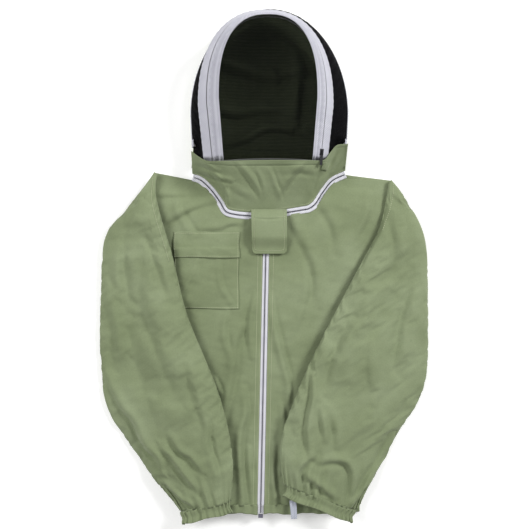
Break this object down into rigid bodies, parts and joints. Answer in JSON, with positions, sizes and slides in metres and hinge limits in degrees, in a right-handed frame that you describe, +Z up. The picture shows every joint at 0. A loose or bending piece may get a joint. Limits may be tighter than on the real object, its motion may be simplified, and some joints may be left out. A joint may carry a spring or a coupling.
{
  "type": "beekeeping jacket with hooped veil",
  "caption": "Hooded beekeeper's jacket laid flat, sleeves folded in, with zips, chest pocket, throat tab, elastic hems and an opening net veil.",
  "frame": {"origin": "on the table, under the middle of the laid-out jacket", "axes": "+X towards the wearer's left, +Y from the hem to the crown of the hood, +Z up off the table, out of the jacket's front"},
  "size_m": [0.6857, 1.0562, 0.1276],
  "materials": {
    "twill": "matt cotton twill, washed sage green",
    "net": "black knitted veil net",
    "white_tape": "white woven zip tape and casing",
    "coil": "dark grey nylon coil",
    "slider_metal": "black enamelled die casting",
    "elastic": "pale woven elastic",
    "hoop": "white sprung plastic hoop",
    "hook_and_loop": "hook and loop tape"
  },
  "bodies": {
    "jacket": {"back_panel": "twill", "front_panel_right": "twill", "front_panel_left": "twill", "waist_hem": "twill", "chest_pocket": "twill", "hood_back": "twill", "hood_nape": "twill", "bib": "twill", "side_net": "net", "front_zip_tape_right": "white_tape", "front_zip_tape_left": "white_tape", "neck_zip_tape_jacket": "white_tape", "neck_zip_tape_hood": "white_tape", "neck_zip_back_tape": "white_tape", "veil_zip_tape_outer": "white_tape", "rear_hoop_casing": "white_tape", "front_zip_coil_right": "coil", "front_zip_coil_left": "coil", "front_zip_top_stop_right": "coil", "front_zip_top_stop_left": "coil", "front_zip_retainer_box": "coil", "neck_zip_coil_jacket": "coil", "neck_zip_coil_hood": "coil", "neck_zip_back_coil": "coil", "veil_zip_coil_outer": "coil", "waist_elastic": "elastic", "rear_hoop": "hoop", "tab_loop_right": "hook_and_loop", "tab_loop_left": "hook_and_loop"},
    "front_frame": {"front_hoop": "hoop", "front_hoop_casing": "white_tape", "face_net": "net", "veil_zip_tape_inner": "white_tape", "veil_zip_coil_inner": "coil"},
    "right_sleeve": {"sleeve_right_under": "twill", "sleeve_right_top": "twill", "cuff_right": "twill", "cuff_elastic_right": "elastic", "thumb_loop_right": "elastic"},
    "left_sleeve": {"sleeve_left_under": "twill", "sleeve_left_top": "twill", "cuff_left": "twill", "cuff_elastic_left": "elastic"},
    "left_loop": {"thumb_loop_left": "elastic"},
    "tab": {"throat_tab": "twill", "tab_hook_right": "hook_and_loop", "tab_hook_left": "hook_and_loop"},
    "flap": {"pocket_flap": "twill"},
    "front_slider": {"front_zip_slider": "slider_metal"},
    "front_pull": {"front_zip_pull": "slider_metal"},
    "neck_slider": {"neck_zip_slider": "slider_metal"},
    "neck_pull": {"neck_zip_pull": "slider_metal"},
    "veil_slider": {"veil_zip_slider": "slider_metal"},
    "veil_pull": {"veil_zip_pull": "slider_metal"}
  },
  "joints": [
    {"name": "front_zip_slide", "type": "slide", "parent": "jacket", "child": "front_slider", "axis": [-0.0199, -0.9998, 0], "range_m": [0, 0.575]},
    {"name": "front_pull_lift", "type": "hinge", "parent": "front_slider", "child": "front_pull", "pos_m": [0.0038, 0.078, 0.0309], "axis": [-0.9998, 0.0199, 0], "range_deg": [0, 20]},
    {"name": "neck_zip_slide", "type": "slide", "parent": "jacket", "child": "neck_slider", "axis": [0.9864, 0.1644, 0], "range_m": [0, 0.062]},
    {"name": "neck_pull_lift", "type": "hinge", "parent": "neck_slider", "child": "neck_pull", "pos_m": [0.014, 0.10233, 0.0319], "axis": [-0.1644, 0.9864, 0], "range_deg": [0, 12]},
    {"name": "veil_zip_slide", "type": "slide", "parent": "jacket", "child": "veil_slider", "axis": [0.0922, 0.9862, 0.1374], "range_m": [0, 0.054]},
    {"name": "veil_pull_lift", "type": "hinge", "parent": "veil_slider", "child": "veil_pull", "pos_m": [0.11625, 0.22649, 0.07428], "axis": [-0.7844, -0.0131, 0.6202], "range_deg": [0, 150]},
    {"name": "face_frame_open", "type": "hinge", "parent": "jacket", "child": "front_frame", "pos_m": [0.007, 0.213, 0.083], "axis": [1, 0, 0], "range_deg": [0, 110]},
    {"name": "throat_tab_lift", "type": "hinge", "parent": "jacket", "child": "tab", "pos_m": [0.0085, 0.116, 0.033], "axis": [-1, 0, 0], "range_deg": [0, 125]},
    {"name": "pocket_flap_lift", "type": "hinge", "parent": "jacket", "child": "flap", "pos_m": [-0.1195, 0.068, 0.028], "axis": [-1, 0, 0], "range_deg": [0, 115]},
    {"name": "right_sleeve_swing", "type": "hinge", "parent": "jacket", "child": "right_sleeve", "pos_m": [-0.227, 0.183, 0.012], "axis": [0, 0, -1], "range_deg": [0, 35]},
    {"name": "left_sleeve_swing", "type": "hinge", "parent": "jacket", "child": "left_sleeve", "pos_m": [0.263, 0.167, 0.012], "axis": [0, 0, 1], "range_deg": [0, 35]},
    {"name": "left_thumb_loop_lift", "type": "hinge", "parent": "left_sleeve", "child": "left_loop", "pos_m": [0.0649, -0.48992, 0.042], "axis": [-0.9338, 0.3579, 0], "range_deg": [0, 75]}
  ]
}
